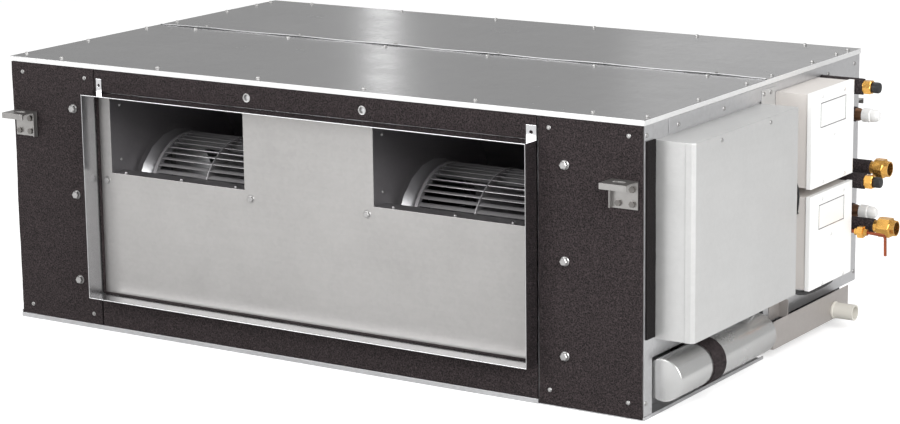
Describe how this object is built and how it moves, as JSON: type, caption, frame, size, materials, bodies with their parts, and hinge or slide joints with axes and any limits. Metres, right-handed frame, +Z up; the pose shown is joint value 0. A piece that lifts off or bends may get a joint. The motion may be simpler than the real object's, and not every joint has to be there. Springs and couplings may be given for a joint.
{
  "type": "ducted air conditioner",
  "caption": "Low rectangular ducted air-conditioning unit with front supply collar, double-inlet blowers on a shared shaft, slanted coil, side electrical and valve boxes, pipes and drain.",
  "frame": {"origin": "centre of the casing's underside", "axes": "+X to the piping and electrical side, -Y the way the air leaves through the collar, +Z up"},
  "size_m": [1.6048, 0.9786, 0.5436],
  "materials": {
    "galvanised": "zinc-coated sheet, fine spangle, semi-matte",
    "black_foam": "closed-cell foam sheet, matt, finely pitted",
    "zinc_steel": "bright zinc plating",
    "white_paint": "satin white powder coat",
    "brass": "machined brass",
    "copper": "drawn copper tube with black foam insulation outside the casing",
    "black_plastic": "black plastic",
    "pale_plastic": "translucent white plastic caps",
    "spout_plastic": "off-white moulded plastic",
    "fin_aluminium": "fine upright fins",
    "pan_foam": "moulded foam pan",
    "motor_paint": "dark satin enamel",
    "circuit_board": "green board with dark parts"
  },
  "bodies": {
    "unit": {"base_pan": "galvanised", "rear_base_pan": "galvanised", "front_top_panel": "galvanised", "rear_top_panel": "galvanised", "left_side_panel": "galvanised", "right_front_panel": "galvanised", "right_rear_panel": "galvanised", "side_top_rail": "galvanised", "front_frame": "galvanised", "rear_inlet_frame": "galvanised", "blower_deck": "galvanised", "outlet_collar": "galvanised", "scroll_left": "galvanised", "scroll_right": "galvanised", "motor_cradle": "galvanised", "tube_sheet_left": "galvanised", "tube_sheet_right": "galvanised", "drain_trough": "galvanised", "electrical_box": "galvanised", "electrical_cover": "galvanised", "valve_box_upper": "galvanised", "valve_box_lower": "galvanised", "hanger_front_left": "galvanised", "hanger_front_right": "galvanised", "hanger_rear_left": "galvanised", "hanger_rear_right": "galvanised", "collar_seal": "black_foam", "foam_left": "black_foam", "foam_right": "black_foam", "foam_top": "black_foam", "foam_bottom": "black_foam", "side_foam": "black_foam", "accumulator_band": "black_foam", "accumulator_saddle": "black_foam", "bearing_left": "zinc_steel", "bearing_right": "zinc_steel", "accumulator": "zinc_steel", "valve_lid_upper": "white_paint", "valve_lid_lower": "white_paint", "flare_nut_upper": "brass", "flare_nut_lower": "brass", "service_nut_upper": "brass", "service_nut_lower": "brass", "charging_valve": "brass", "pipes_upper": "copper", "pipes_lower": "copper", "service_cap_upper": "black_plastic", "service_cap_lower": "black_plastic", "link_cable": "black_plastic", "sensor_cable": "black_plastic", "pale_cap_upper": "pale_plastic", "pale_cap_lower": "pale_plastic", "drain_spout": "spout_plastic", "coil_fins": "fin_aluminium", "drain_pan": "pan_foam", "fan_motor": "motor_paint", "control_board": "circuit_board"},
    "rotor": {"fan_shaft": "zinc_steel", "wheel_left": "galvanised", "wheel_right": "galvanised"}
  },
  "joints": [
    {"name": "fan_spin", "type": "hinge", "parent": "unit", "child": "rotor", "pos_m": [0, -0.235, 0.25], "axis": [1, 0, 0], "continuous": true}
  ]
}
